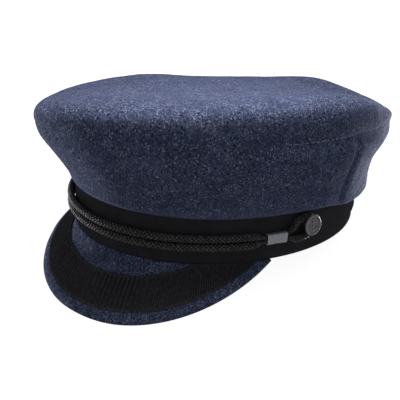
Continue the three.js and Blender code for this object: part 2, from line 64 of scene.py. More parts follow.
# Crown
WOOL_WALL = 2 * MM
CROWN_HEIGHT = 46 * MM
CROWN_FLARE_SIDE = 16.5 * MM
CROWN_FLARE_FRONT = 29.3 * MM
CROWN_FLARE_BACK = 17.9 * MM
CROWN_OVERHANG = 0.8 * MM
CROWN_BULGE = 3 * MM
TOP_PUFF = 18 * MM
TOP_CENTRE_PUFF = 1.05
TOP_EDGE_POWER = 9
TOP_RISE_POWER = 3
TOP_LEAN_LEFT = 4.2 * MM
TOP_LEAN_FRONT = 1.7 * MM
SIDE_SEAM_ANGLE = -0.5
SEAM_RIDGE = 0.8 * MM
SEAM_RIDGE_WIDTH = 12 * MM
SEAM_TURN = 0.8 * MM
SAG_ANGLE = 19
SAG_HALF_ANGLE = 24
SAG_DROP = 4.4 * MM
SAG_OUT = 1.6 * MM

# How far the cloth's fold hangs below the crown's seam on the band
FOLD_DROP = 1.4 * MM
FOOT_ROLL = 1.5 * MM
FOOT_ROLL_WIDTH = 3.5 * MM
# Width of the painted highlight along the foot of the crown's side
FOOT_HIGHLIGHT_WIDTH = 4 * MM

# Stitches beside the top's seam
STITCH_START = -26
STITCH_END = -2
STITCH_SPACING = 3.1 * MM
STITCH_LENGTH = 2.3 * MM
STITCH_RADIUS = 0.22 * MM

# Peak and ribbon
PEAK_LENGTH = 42.3 * MM
PEAK_WALL = 3.2 * MM
PEAK_HALF_ANGLE = 65.4
PEAK_SLOPE_FRONT = 53.7
PEAK_SLOPE_END = 34.8
PEAK_TURN = 0.16
PEAK_FULLNESS = 2.19
PEAK_TAPER = 1.13
PEAK_BORDER = 6.8 * MM
PEAK_THINNED_LENGTH = 6 * MM
RIBBON_WIDTH = 22.5 * MM
RIBBON_END_WIDTH = 1 * MM
RIBBON_ROUND = 0.35 * MM
RIB_SPACING = 1.4 * MM
RIB_DEPTH = 0.09 * MM
GATHER_SPACING = 3.3 * MM
GATHER_DEPTH = 0.55 * MM

# Cord, ferrules and buttons
CORD_DIAMETER = 5 * MM
CORD_DROOP = 1.8 * MM
BRAID_PITCH = 12 * MM
BRAID_CARRIERS = 5
BRAID_RELIEF = 0.34
FERRULE_ANGLE = 25.6
FERRULE_LENGTH = 13.5 * MM
FERRULE_WALL = 0.6 * MM
BUTTON_ANGLE = 13
BUTTON_DIAMETER = 12.6 * MM
BUTTON_THICKNESS = 2 * MM
BUTTON_SHANK = 3.6 * MM
BUTTON_TILT = 6
RELIEF_HEIGHT = 0.4 * MM

# Values that follow from the sizes above
LEFT_SEAM = SIDE_SEAM_ANGLE
RIGHT_SEAM = 180 - SIDE_SEAM_ANGLE
HALF_BREADTH = HEAD_BREADTH / 2 + BAND_WALL
HALF_LENGTH = HEAD_LENGTH / 2 + BAND_WALL
SEAM_HALF_BREADTH = HALF_BREADTH + CROWN_FLARE_SIDE
SEAM_HALF_LENGTH = HALF_LENGTH + (CROWN_FLARE_FRONT + CROWN_FLARE_BACK) / 2
SEAM_CENTRE = (CROWN_FLARE_BACK - CROWN_FLARE_FRONT) / 2
TOP_LEVEL = 0.79 * CROWN_HEIGHT
CORD_RADIUS = CORD_DIAMETER / 2
CORD_SPREAD = CORD_RADIUS + GAP / 2
CORD_OUT = CORD_RADIUS + GAP
CORD_HEIGHT = -BAND_HEIGHT / 2
BUTTON_HEIGHT = CORD_HEIGHT + 0.9 * CORD_DIAMETER
NECK_RADIUS = 0.22 * CORD_DIAMETER
NECK_SPREAD = NECK_RADIUS + GAP / 2

# The crown's slump, a column value for each eighth of the way around, from -180 degrees on.
# seam is a share of CROWN_HEIGHT and puff of TOP_PUFF, the others are shares of CROWN_BULGE.
CROWN_SECTIONS = {
    "puff": [0.8, 0.68, 1.14, 1.43, 1.42, 0.32, 0.84, 0.51],
    "seam": [0.64, 0.79, 0.94, 1.0, 0.96, 0.81, 0.65, 0.58],
    "flare": [0.0, 0.0, 0.0, 0.0, 0.0, 0.5, 0.0, 0.0],
    "upper": [1.0, 0.4, 0.8, 0.9, 1.0, 1.1, 1.4, 1.2],
    "waist": [0.4, 0.1, 0.5, 0.7, 0.5, -1.4, 0.4, 0.3],
    "lower": [0.8, 0.1, 0.2, 0.4, 0.5, 0.2, 1.6, 1.2],
}

# The cord's way around a button: along and up, as shares of CORD_DIAMETER
CORD_LOOP = [
    (-2.3, -0.25), (-1.65, 0.6), (-0.7, 0.93), (0.25, 0.92), (0.86, 0.4),
    (0.95, -0.35), (0.6, -1.08), (-0.2, -1.5), (-1.2, -1.62), (-2.2, -1.47),
]


# Plan of the cap

def sin(degrees):
    return np.sin(np.radians(degrees))


def cos(degrees):
    return np.cos(np.radians(degrees))


def unit(vectors):
    return vectors / np.linalg.norm(vectors, axis=-1, keepdims=True)


def smoothstep(value, low, high):
    share = np.clip((value - low) / (high - low), 0, 1)
    return share * share * (3 - 2 * share)


def point(x, y, z):
    return np.stack(np.broadcast_arrays(x, y, z), -1).astype(float)


def oval(angle, half_breadth, half_length, centre=0.0):
    return point(half_breadth * cos(angle), centre + half_length * sin(angle), 0.0)


def outward(angle):
    return unit(point(cos(angle) / HALF_BREADTH, sin(angle) / HALF_LENGTH, 0.0))


def along(angle):
    return unit(point(-HALF_BREADTH * sin(angle), HALF_LENGTH * cos(angle), 0.0))


def degrees_along(angle, length):
    per_radian = np.hypot(HALF_BREADTH * sin(angle), HALF_LENGTH * cos(angle))
    return np.degrees(length / per_radian)


def on_band(angle, out, height):
    """A point off the band's outside."""
    lean = BAND_LEAN * (1 + height / BAND_HEIGHT)
    place = oval(angle, HALF_BREADTH, HALF_LENGTH) + outward(angle) * np.expand_dims(out + lean, -1)
    place[..., 2] = height
    return place


def crown_value(column, angle):
    """A smooth value of a column of CROWN_SECTIONS at any angle."""
    values = np.array(CROWN_SECTIONS[column])
    place = (np.asarray(angle, float) + 180) / 360 * len(values)
    first = np.floor(place).astype(int)
    share = place - first
    a, b, c, d = (values[(first + step) % len(values)] for step in (-1, 0, 1, 2))
    bend = 2 * a - 5 * b + 4 * c - d
    twist = 3 * (b - c) + d - a
    return b + 0.5 * share * (c - a + share * (bend + share * twist))


def ripple(places, wavelength, seed, waves=14):
    """Smooth noise of about -1 to 1, the same each run, with features of a wavelength."""
    draw = np.random.default_rng(seed)
    ways = unit(draw.normal(size=(waves, 3))) * draw.uniform(0.6, 1.4, (waves, 1))
    phases = draw.uniform(0, 2 * np.pi, waves)
    return np.sin(places @ ways.T * (2 * np.pi / wavelength) + phases).sum(-1) / np.sqrt(waves * 2)


def crowded(start, end, steps, crowding):
    """Values from start to end that lie closer together at both ends."""
    share = np.linspace(0, 1, steps + 1)
    return start + (end - start) * (share - crowding * np.sin(2 * np.pi * share) / (2 * np.pi))


# From the cap's frame to the room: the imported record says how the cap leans

rim = next(m for m in frame["record"]["mounts"] if m["name"] == "head_rim")
cap_up = -Vector(rim["axis"])
cap_back = cap_up.cross(Vector((1, 0, 0)))
cap_origin = Vector(rim["pos_m"]) + cap_up * BAND_HEIGHT
cap_origin.x = 0
CAP_AXES = np.array([(1, 0, 0), cap_back, cap_up], float)
CAP_ORIGIN = np.array(cap_origin)


def to_room(places):
    """Places of the cap's frame in the room, pressed flat where the cap rests."""
    room = places @ CAP_AXES + CAP_ORIGIN
    room[..., 2] = np.maximum(room[..., 2], 0)
    return room


# Meshes

def normals_of(grid, closed):
    """Unit normals of a grid of points, columns by rows."""
    if closed:
        across = np.roll(grid, -1, 0) - np.roll(grid, 1, 0)
    else:
        across = np.gradient(grid, axis=0)
    up = np.gradient(grid, axis=1)
    normal = np.cross(across, up)
    size = np.linalg.norm(normal, axis=-1, keepdims=True)
    return normal / np.maximum(size, 1e-15)


def make_piece(name, loops, look, replaced=(), closed=True, flat=None):
    """A closed body from loops of points. closed joins the last loop to the first.

    flat gives each point a place on the flat cloth, in metres, with a last row and column more.
    """
    count, sides = loops.shape[:2]
    index = np.arange(count * sides).reshape(count, sides)
    rows = np.vstack([index, index[:1]]) if closed else index
    rows = np.hstack([rows, rows[:, :1]])
    quads = np.stack([rows[:-1, :-1], rows[1:, :-1], rows[1:, 1:], rows[:-1, 1:]], -1).reshape(-1, 4)
    points = loops.reshape(-1, 3)
    keys, first, weld = np.unique(np.round(points / 1e-7).astype(np.int64), axis=0,
                                  return_index=True, return_inverse=True)
    weld = weld.ravel()
    points = points[first]
    corner_flat = None
    if flat is not None:
        used = flat[:rows.shape[0], :rows.shape[1]]
        corner_flat = np.stack([used[:-1, :-1], used[1:, :-1], used[1:, 1:], used[:-1, 1:]], -2)
        corner_flat = corner_flat.reshape(-1, 4, 2)
    faces = []
    places = []
    for number, quad in enumerate(weld[quads].tolist()):
        kept = [k for k in range(4) if quad[k] != quad[k - 1]]
        if len(kept) > 2 and quad[0] != quad[2] and quad[1] != quad[3]:
            faces.append([quad[k] for k in kept])
            if corner_flat is not None:
                places.extend(corner_flat[number, k] for k in kept)
    if not closed:
        for end in (index[0], index[-1][::-1]):
            cap = list(dict.fromkeys(weld[end].tolist()))
            faces.append(cap)
            places.extend([(0, 0)] * len(cap))
    volume = sum(np.dot(points[f[0]], np.cross(points[f[k]], points[f[k + 1]]))
                 for f in faces for k in range(1, len(f) - 1))
    mesh = bpy.data.meshes.new(name)
    mesh.from_pydata(points.tolist(), [], faces)
    if corner_flat is not None:
        layer = mesh.uv_layers.new(name="flat_places")
        layer.uv.foreach_set("vector", np.array(places, np.float32).ravel())
    if volume < 0:
        mesh.flip_normals()
    mesh.validate()
    mesh.shade_smooth()
    return place_piece(name, mesh, look, replaced)


def place_piece(name, mesh, look, replaced=()):
    mesh.materials.append(look)
    piece = bpy.data.objects.new(name, mesh)
    bpy.context.scene.collection.objects.link(piece)
    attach(piece, "root")
    if replaced:
        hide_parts(*replaced)
    return piece


# Materials

def node(tree, kind, inputs=None, **settings):
    """A new node with its settings and inputs, which are values or the sockets that feed them."""
    made = tree.nodes.new(kind)
    for name, value in settings.items():
        setattr(made, name, value)
    for name, value in (inputs or {}).items():
        if isinstance(value, bpy.types.NodeSocket):
            tree.links.new(value, made.inputs[name])
        else:
            made.inputs[name].default_value = value
    return made


def new_look(name, **sockets):
    """A material and its tree, with values of the shader's own sockets."""
    look = bpy.data.materials.new(name)
    look.use_nodes = True
    shader = look.node_tree.nodes["Principled BSDF"]
    for socket, value in sockets.items():
        shader.inputs[socket.replace("_", " ")].default_value = value
    return look, look.node_tree, shader


def colour(r, g, b):
    return (r, g, b, 1.0)


def noise(tree, place, scale, detail=2.0, roughness=0.5, distortion=0.0):
    made = node(tree, "ShaderNodeTexNoise", {
        "Vector": place, "Scale": scale, "Detail": detail,
        "Roughness": roughness, "Distortion": distortion})
    return made.outputs["Fac"]


def stretched(tree, place, turn, stretch):
    """Texture places turned and stretched, so that grains become short fibres."""
    made = node(tree, "ShaderNodeMapping", {
        "Vector": place, "Rotation": turn, "Scale": stretch})
    return made.outputs["Vector"]


def ramp(tree, value, low, high):
    made = node(tree, "ShaderNodeMapRange", {
        "Value": value, "From Min": low, "From Max": high}, clamp=True)
    return made.outputs["Result"]


def mixed(tree, share, first, second):
    made = node(tree, "ShaderNodeMix", data_type="RGBA")
    colour_inputs = [s for s in made.inputs if s.type == "RGBA"]
    factor = next(s for s in made.inputs if s.type == "VALUE")
    for socket, value in ((factor, share), (colour_inputs[0], first), (colour_inputs[1], second)):
        if isinstance(value, bpy.types.NodeSocket):
            tree.links.new(value, socket)
        else:
            socket.default_value = value
    return next(s for s in made.outputs if s.type == "RGBA")


def maths(tree, operation, first, second=0.0):
    made = node(tree, "ShaderNodeMath", {0: first, 1: second}, operation=operation)
    return made.outputs["Value"]


def bumped(tree, shader, height, distance, strength=1.0):
    made = node(tree, "ShaderNodeBump", {
        "Height": height, "Distance": distance, "Strength": strength})
    tree.links.new(made.outputs["Normal"], shader.inputs["Normal"])


def wool_look():
    look, tree, shader = new_look(
        "wool_melange", Roughness=0.95, Sheen_Weight=0.03, Sheen_Roughness=0.4,
        Sheen_Tint=colour(0.45, 0.48, 0.85), Specular_IOR_Level=0.03)
    place = node(tree, "ShaderNodeTexCoord").outputs["Object"]
    cloud = noise(tree, place, 42, 4, 0.65)
    mottle = noise(tree, place, 170, 2, 0.5)
    tuft = noise(tree, place, 330, 2, 0.6, 0.4)
    grain = noise(tree, place, 950, 3, 0.7)
    fine = noise(tree, place, 2100, 2, 0.6)
    pale = noise(tree, stretched(tree, place, (0.3, 0.9, 0.4), (1, 1, 0.7)), 1150, 2, 0.5, 0.6)
    dark = noise(tree, stretched(tree, place, (1.1, 0.2, 1.9), (1, 0.7, 1)), 950, 2, 0.5, 0.6)
    teal = noise(tree, stretched(tree, place, (2.1, 1.4, 0.2), (0.5, 1, 1)), 800, 1, 0.5, 0.4)
    body = mixed(tree, ramp(tree, grain, 0.38, 0.62),
                 colour(0.022, 0.027, 0.060), colour(0.118, 0.134, 0.232))
    body = mixed(tree, maths(tree, "MULTIPLY", ramp(tree, cloud, 0.42, 0.62), 0.6), body,
                 colour(0.110, 0.126, 0.215))
    body = mixed(tree, maths(tree, "MULTIPLY", ramp(tree, tuft, 0.5, 0.65), 0.6), body,
                 colour(0.022, 0.026, 0.060))
    body = mixed(tree, maths(tree, "MULTIPLY", ramp(tree, teal, 0.54, 0.66), 0.7), body,
                 colour(0.055, 0.115, 0.155))
    body = mixed(tree, ramp(tree, dark, 0.54, 0.64), body, colour(0.008, 0.010, 0.026))
    body = mixed(tree, ramp(tree, pale, 0.56, 0.68), body, colour(0.300, 0.325, 0.450))
    body = mixed(tree, maths(tree, "MULTIPLY", ramp(tree, mottle, 0.38, 0.66), 0.55), body,
                 colour(0.036, 0.042, 0.086))
    # Painted highlight: the wool is painted paler along the foot of the crown's side, where its rolled edge
    # would catch light. The flat places carry its share in Y.
    marks = node(tree, "ShaderNodeTexCoord").outputs["UV"]
    foot_highlight = node(tree, "ShaderNodeSeparateXYZ", {"Vector": marks}).outputs["Y"]
    body = mixed(tree, maths(tree, "MULTIPLY", foot_highlight, 0.3), body, colour(0.140, 0.158, 0.250))
    tree.links.new(body, shader.inputs["Base Color"])
    height = maths(tree, "ADD", grain, maths(tree, "MULTIPLY", fine, 0.6))
    height = maths(tree, "ADD", height, maths(tree, "MULTIPLY", tuft, 0.9))
    bumped(tree, shader, height, 0.45 * MM, 0.9)
    return look


def band_look():
    look, tree, shader = new_look(
        "band_cloth", Roughness=0.85, Sheen_Weight=0.02, Sheen_Roughness=0.5,
        Sheen_Tint=colour(0.6, 0.5, 0.75), Specular_IOR_Level=0.12)
    flat = node(tree, "ShaderNodeTexCoord").outputs["UV"]
    place = node(tree, "ShaderNodeTexCoord").outputs["Object"]
    warp = weave(tree, flat, (0, 0, 0.6), 0.45 * MM)
    weft = weave(tree, flat, (0, 0, -0.9), 0.45 * MM)
    threads = maths(tree, "MAXIMUM", warp, weft)
    cloud = noise(tree, place, 90, 4, 0.6)
    body = mixed(tree, ramp(tree, cloud, 0.3, 0.7),
                 colour(0.019, 0.019, 0.020), colour(0.031, 0.030, 0.032))
    body = mixed(tree, maths(tree, "MULTIPLY", threads, 0.3), body, colour(0.038, 0.037, 0.040))
    tree.links.new(body, shader.inputs["Base Color"])
    bumped(tree, shader, threads, 0.08 * MM, 0.7)
    return look


def weave(tree, flat, turn, spacing):
    """Ridges of threads that lie at a spacing on the flat cloth."""
    place = stretched(tree, flat, turn, (1, 1, 1))
    made = node(tree, "ShaderNodeTexWave", {"Vector": place, "Scale": 1 / spacing / 3.18,
                                            "Distortion": 0.6, "Detail": 1.0, "Detail Scale": 2.0})
    return made.outputs["Fac"]


def ribbon_look():
    look, tree, shader = new_look(
        "ribbon_cloth", Roughness=0.8, Sheen_Weight=0.02, Sheen_Roughness=0.4,
        Sheen_Tint=colour(0.6, 0.58, 0.7), Specular_IOR_Level=0.15)
    flat = node(tree, "ShaderNodeTexCoord").outputs["UV"]
    threads = weave(tree, flat, (0, 0, 1.5708), 0.35 * MM)
    fleck = noise(tree, node(tree, "ShaderNodeTexCoord").outputs["Object"], 700, 3, 0.6)
    body = mixed(tree, ramp(tree, fleck, 0.35, 0.7),
                 colour(0.025, 0.025, 0.027), colour(0.068, 0.065, 0.074))
    # Painted shade: the hollows between the ribs and puckers are painted near black.
    ridge = node(tree, "ShaderNodeNewGeometry").outputs["Pointiness"]
    body = mixed(tree, ramp(tree, ridge, 0.47, 0.52), colour(0.009, 0.009, 0.010), body)
    tree.links.new(body, shader.inputs["Base Color"])
    bumped(tree, shader, threads, 0.08 * MM, 0.7)
    return look


def braid_look():
    look, tree, shader = new_look(
        "braid_yarn", Roughness=0.6, Sheen_Weight=0.03, Sheen_Roughness=0.4,
        Sheen_Tint=colour(0.7, 0.7, 0.72), Specular_IOR_Level=0.35)
    flat = node(tree, "ShaderNodeTexCoord").outputs["UV"]
    threads = weave(tree, flat, (0, 0, 0.8), 0.3 * MM)
    fleck = noise(tree, node(tree, "ShaderNodeTexCoord").outputs["Object"], 900, 3, 0.65)
    body = mixed(tree, ramp(tree, fleck, 0.38, 0.62),
                 colour(0.012, 0.012, 0.013), colour(0.170, 0.170, 0.160))
    # Painted shade: the hollows between the braid's bumps are painted near black.
    ridge = node(tree, "ShaderNodeNewGeometry").outputs["Pointiness"]
    body = mixed(tree, ramp(tree, ridge, 0.485, 0.53), colour(0.005, 0.005, 0.006), body)
    tree.links.new(body, shader.inputs["Base Color"])
    bumped(tree, shader, threads, 0.12 * MM, 0.8)
    return look


def metal_look(name, dull, bright, roughness, grain_scale, worn=0.0):
    """Aged metal. worn is how much paler its raised parts are, partly rubbed wear and partly a painted
    highlight that shows their relief; the flat places mark them in Y.
    """
    look, tree, shader = new_look(name, Metallic=0.75, Specular_IOR_Level=0.4)
    marks = node(tree, "ShaderNodeTexCoord").outputs["UV"]
    raised_wear_and_highlight = node(tree, "ShaderNodeSeparateXYZ", {"Vector": marks}).outputs["Y"]
    place = node(tree, "ShaderNodeTexCoord").outputs["Object"]
    edge = node(tree, "ShaderNodeNewGeometry").outputs["Pointiness"]
    grain = noise(tree, place, grain_scale, 4, 0.7)
    smudge = noise(tree, place, 320, 3, 0.5)
    body = mixed(tree, ramp(tree, grain, 0.36, 0.64), dull, bright)
    # Raised parts painted paler: partly wear, partly a painted highlight
    body = mixed(tree, maths(tree, "MULTIPLY", raised_wear_and_highlight, worn), body, bright)
    # Painted highlight: sharp outer edges are painted paler.
    body = mixed(tree, maths(tree, "MULTIPLY", ramp(tree, edge, 0.5, 0.62), 0.5), body,
                 colour(*(min(1, 1.3 * c) for c in bright[:3])))
    tree.links.new(body, shader.inputs["Base Color"])
    tree.links.new(maths(tree, "ADD", maths(tree, "MULTIPLY", smudge, 0.2), roughness - 0.1),
                   shader.inputs["Roughness"])
    bumped(tree, shader, grain, 0.06 * MM, 0.6)
    return look


def thread_look():
    look, tree, shader = new_look(
        "seam_thread", Roughness=0.8, Sheen_Weight=0.3, Specular_IOR_Level=0.2)
    place = node(tree, "ShaderNodeTexCoord").outputs["Object"]
    twist = noise(tree, stretched(tree, place, (0, 0, 0.6), (1, 0.4, 1)), 1500, 2)
    body = mixed(tree, ramp(tree, twist, 0.3, 0.7),
                 colour(0.22, 0.24, 0.31), colour(0.62, 0.64, 0.72))
    tree.links.new(body, shader.inputs["Base Color"])
    bumped(tree, shader, twist, 0.1 * MM, 0.6)
    return look


# Crown

def sag_at(angle):
    share = np.exp(-(((angle - SAG_ANGLE) / SAG_HALF_ANGLE) ** 2))
    out = (WOOL_WALL + GAP) * smoothstep(share, 0, 0.3) + SAG_OUT * share
    return out, SAG_DROP * smoothstep(share, 0.25, 0.9)


def seam_distance(angle, seam):
    return np.radians(angle - seam) * SEAM_HALF_LENGTH


def seam_rise(angle):
    """How far the panel behind a side seam stands proud of the one before it."""
    total = 0
    for seam, behind in ((LEFT_SEAM, 1), (RIGHT_SEAM, -1), (RIGHT_SEAM - 360, -1)):
        distance = seam_distance(angle, seam) * behind
        turned = 1 - np.exp(-((distance / SEAM_TURN) ** 2))
        ridge = SEAM_RIDGE * turned * np.exp(-((distance / SEAM_RIDGE_WIDTH) ** 2))
        total = total + np.where(distance < 0, 0, ridge)
    return total


def swell(share, middle):
    power = np.log(0.5) / np.log(middle)
    return np.sin(np.pi * share ** power) ** 2


def seam_height(angle):
    return CROWN_HEIGHT * crown_value("seam", angle)


def seam_oval(angle):
    flare = CROWN_BULGE * crown_value("flare", angle)
    place = oval(angle, SEAM_HALF_BREADTH, SEAM_HALF_LENGTH, SEAM_CENTRE)
    return place + outward(angle) * np.expand_dims(flare, -1)


def side_point(angle, share):
    sag_out, sag_drop = sag_at(angle)
    out = BAND_LEAN + CROWN_OVERHANG + sag_out
    foot = oval(angle, HALF_BREADTH + out, HALF_LENGTH + out)
    seam = seam_oval(angle)
    bulge = (crown_value("upper", angle) * swell(share, 0.78)
             + crown_value("waist", angle) * swell(share, 0.48)
             + crown_value("lower", angle) * swell(share, 0.2))
    push = CROWN_BULGE * bulge + seam_rise(angle) * np.sin(np.pi * share ** 0.75)
    place = foot + (seam - foot) * np.expand_dims(share, -1)
    place = place + outward(angle) * np.expand_dims(push, -1)
    low = GAP - sag_drop - FOLD_DROP
    place[..., 2] = low + share * (seam_height(angle) - low)
    return place


def fold_point(angle, share):
    """The cloth's way from the band's top edge, at 0, out and under to the side's foot, at 1."""
    start = on_band(angle, np.full_like(angle, 0.2 * MM), np.full_like(angle, GAP))
    foot = side_point(angle, np.zeros_like(angle))
    sag_out, sag_drop = sag_at(angle)
    turn = foot - outward(angle) * np.expand_dims(0.3 * MM + 0.35 * sag_out, -1)
    turn[..., 2] -= 0.9 * MM + 0.2 * sag_drop
    t = np.expand_dims(share, -1)
    return start * (1 - t) ** 2 + turn * 2 * t * (1 - t) + foot * t ** 2


def cloth_relief(places):
    """The small unevenness of soft wool cloth."""
    return (0.55 * MM * ripple(places, 0.055, 3) + 0.22 * MM * ripple(places, 0.021, 4)
            + 0.05 * MM * ripple(places, 0.006, 5, 24))


def seam_groove(angle, distance):
    """How far the cloth dips where the top is sewn on, most where the seam is drawn tight."""
    tight = 0.25 + 0.75 * np.exp(-(((angle + 4) / 30) ** 2))
    return tight * (-0.3 * MM * np.exp(-((distance / (0.5 * MM)) ** 2))
                    + 0.1 * MM * np.exp(-(((distance - 1.6 * MM) / MM) ** 2)))


def crown_side(name, start, end, look):
    angles = crowded(start, end, 260, 0.75)[:, None]
    shares = crowded(0, 1, 58, 0.8)[None, :]
    fold_shares = np.linspace(0, 1, 9)[None, :-1]
    outer = side_point(*np.broadcast_arrays(angles, shares))
    normal = normals_of(outer, False)
    normal *= np.sign((normal * outward(angles)).sum(-1, keepdims=True))
    height = outer[..., 2]
    from_top = (height[:, -1:] - height)
    fade = smoothstep(from_top, 0, 4 * MM) * smoothstep(height - height[:, :1], 0, 3 * MM)
    from_ends = np.minimum(angles - start, end - angles) * np.radians(SEAM_HALF_BREADTH)
    fade = fade * smoothstep(from_ends, 0, 5 * MM)
    push = cloth_relief(outer) * fade + seam_groove(angles, from_top)
    above_foot = height - height[:, :1] - FOOT_ROLL
    push = push + FOOT_ROLL * np.exp(-((above_foot / FOOT_ROLL_WIDTH) ** 2))
    outer = outer + normal * push[..., None]
    fold = fold_point(*np.broadcast_arrays(angles, fold_shares))
    inner_shares = np.linspace(1, 0, 12)[None, :]
    inner = side_point(*np.broadcast_arrays(angles, inner_shares))
    inner -= outward(angles) * WOOL_WALL
    lowest = on_band(angles, np.full_like(angles, -1.2 * MM), np.full_like(angles, GAP))
    low = smoothstep(inner_shares, 0.35, 0.0)[..., None]
    inner = inner * (1 - low) + (lowest + [0, 0, 1] * (inner_shares[..., None] * CROWN_HEIGHT)) * low
    loops = np.concatenate([fold, outer, inner], 1)
    # The share of painted highlight along the foot, which the flat places carry as their second value
    foot_highlight = np.exp(-(((loops[..., 2] - height[:, :1]) / FOOT_HIGHLIGHT_WIDTH) ** 2))
    flat = np.stack(np.broadcast_arrays(np.radians(angles) * SEAM_HALF_LENGTH, foot_highlight), -1)
    flat = np.pad(flat, ((0, 0), (0, 1), (0, 0)), mode="wrap")
    return make_piece(name, to_room(loops), look, (name.replace("_cloth", ""),),
                      closed=False, flat=flat)


def top_point(angle, share):
    out = np.where(share < 1, np.maximum(cos(90 * share), 0) ** (2 / TOP_EDGE_POWER), 0)
    rise = sin(90 * share) ** (2 / TOP_RISE_POWER)
    centre = np.array([0, SEAM_CENTRE, 0])
    place = centre + (seam_oval(angle) - centre) * out[..., None]
    place = place + np.array([TOP_LEAN_LEFT, -TOP_LEAN_FRONT, 0]) * rise[..., None]
    puff = TOP_CENTRE_PUFF + (crown_value("puff", angle) - TOP_CENTRE_PUFF) * out ** 2
    tilt = (seam_height(angle) - TOP_LEVEL) * out
    place[..., 2] = TOP_LEVEL + tilt + TOP_PUFF * rise * puff
    return place


def crown_top(look):
    angles = (RIGHT_SEAM - 360 + np.arange(320) * 360 / 320)[:, None]
    rises = np.concatenate([[0, 0.003], np.linspace(0.02, 0.62, 28)])
    shoulder = np.arcsin(rises ** (TOP_RISE_POWER / 2)) * 2 / np.pi
    plateau_outs = cos(90 * shoulder[-1]) ** (2 / TOP_EDGE_POWER) * (1 - np.linspace(0, 1, 43)[1:] ** 1.3)
    plateau = np.arccos(plateau_outs ** (TOP_EDGE_POWER / 2)) * 2 / np.pi
    shares = np.concatenate([shoulder, plateau])[None, :]
    outer = top_point(*np.broadcast_arrays(angles, shares))
    normal = normals_of(outer, True)
    normal[:, -1] = (0, 0, 1)
    away = point(outer[..., 0], outer[..., 1] - SEAM_CENTRE, outer[..., 2] * 0 + 0.05)
    normal *= np.sign((normal * away).sum(-1, keepdims=True))
    steps = np.linalg.norm(np.diff(outer, axis=1), axis=-1)
    from_seam = np.concatenate([np.zeros((len(outer), 1)), np.cumsum(steps, 1)], 1)
    push = cloth_relief(outer) * smoothstep(from_seam, 0, 4 * MM) + seam_groove(angles, from_seam)
    outer = outer + normal * push[..., None]
    outer[:, -1] = outer[:, -1].mean(0)
    inner_shares = np.linspace(1, 0, 16)[None, :]
    inner = top_point(*np.broadcast_arrays(angles, inner_shares))
    inner_normal = normals_of(inner, True)
    inner_normal[:, 0] = (0, 0, 1)
    inner_normal[:, -1] = outward(angles[:, 0])
    away = point(inner[..., 0], inner[..., 1] - SEAM_CENTRE, inner[..., 2] * 0 + 0.05)
    inner_normal *= np.sign((inner_normal * away).sum(-1, keepdims=True))
    inner = inner - inner_normal * WOOL_WALL
    inner[:, 0] = inner[:, 0].mean(0)
    loops = np.concatenate([outer, inner], 1)
    return make_piece("crown_top_cloth", to_room(loops), look, ("crown_top",))


def seam_stitches(look):
    """Short stitches of thread that show beside the top's seam at the wearer's left."""
    draw = np.random.default_rng(11)
    starts = np.arange(STITCH_START, STITCH_END, degrees_along(STITCH_START, STITCH_SPACING))
    bodies = []
    for start in starts:
        length = STITCH_LENGTH * draw.uniform(0.8, 1.1)
        sink = 0.12 * MM * draw.uniform(-1, 1) + 0.3 * MM * smoothstep(abs(start + 15), 2, 11)
        angles = start + degrees_along(start, length) * np.linspace(0, 1, 9)
        centre = side_point(angles, np.ones_like(angles))
        centre += outward(angles) * (0.02 * MM - sink)
        centre[:, 2] += 0.1 * MM
        bodies.append(tube(centre, STITCH_RADIUS * np.sin(np.linspace(0.25, np.pi - 0.25, 9)), 8))
    return join_tubes("seam_stitches", bodies, look)


def tube(centre, radii, sides):
    """A closed tube around a line of points, with flat ends."""
    tangent = unit(np.gradient(centre, axis=0))
    side = unit(np.cross(tangent, [0, 0, 1.0]))
    up = np.cross(side, tangent)
    turns = np.arange(sides) * 360 / sides
    ring = side[:, None] * cos(turns)[None, :, None] + up[:, None] * sin(turns)[None, :, None]
    return centre[:, None] + ring * np.asarray(radii)[:, None, None]


def join_tubes(name, bodies, look):
    points = []
    faces = []
    for body in bodies:
        count, sides = body.shape[:2]
        base = sum(len(p) for p in points)
        points.append(to_room(body).reshape(-1, 3))
        for i in range(count - 1):
            for j in range(sides):
                k = (j + 1) % sides
                faces.append([base + i * sides + j, base + i * sides + k,
                              base + (i + 1) * sides + k, base + (i + 1) * sides + j])
        faces.append([base + j for j in range(sides)][::-1])
        faces.append([base + (count - 1) * sides + j for j in range(sides)])
    mesh = bpy.data.meshes.new(name)
    mesh.from_pydata(np.concatenate(points).tolist(), [], faces)
    mesh.validate()
    mesh.shade_smooth()
    return place_piece(name, mesh, look)


# Band

